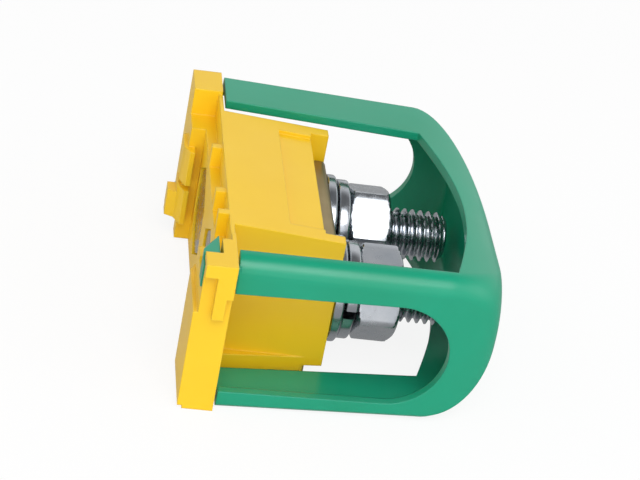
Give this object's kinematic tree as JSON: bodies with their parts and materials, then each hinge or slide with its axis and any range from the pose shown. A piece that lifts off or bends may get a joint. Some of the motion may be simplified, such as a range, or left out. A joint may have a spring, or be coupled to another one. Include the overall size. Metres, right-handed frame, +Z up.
{
  "type": "stud terminal block",
  "caption": "Rail-mounted stud terminal block: yellow moulded base with a bus bar, threaded studs with washers and nuts, and a green clipped-on hood open at the sides for cable lugs.",
  "frame": {"origin": "centre of the bounding box on the plane the block lies on", "axes": "+X along the studs, away from the rail; +Y along the row of studs, away from the viewer; +Z up, along the rail"},
  "size_m": [0.0466, 0.0606, 0.025],
  "materials": {
    "yellow_plastic": "satin moulded",
    "brass": "dull plated",
    "zinc_steel": "bright zinc plated",
    "green_plastic": "satin moulded"
  },
  "bodies": {
    "root": {"base": "yellow_plastic", "bus_bar": "brass", "stud_front": "zinc_steel", "stud_rear": "zinc_steel", "flat_washer_front": "zinc_steel", "flat_washer_rear": "zinc_steel", "spring_washer_front": "zinc_steel", "spring_washer_rear": "zinc_steel", "nut_front": "zinc_steel", "nut_rear": "zinc_steel", "hood": "green_plastic"}
  },
  "joints": []
}
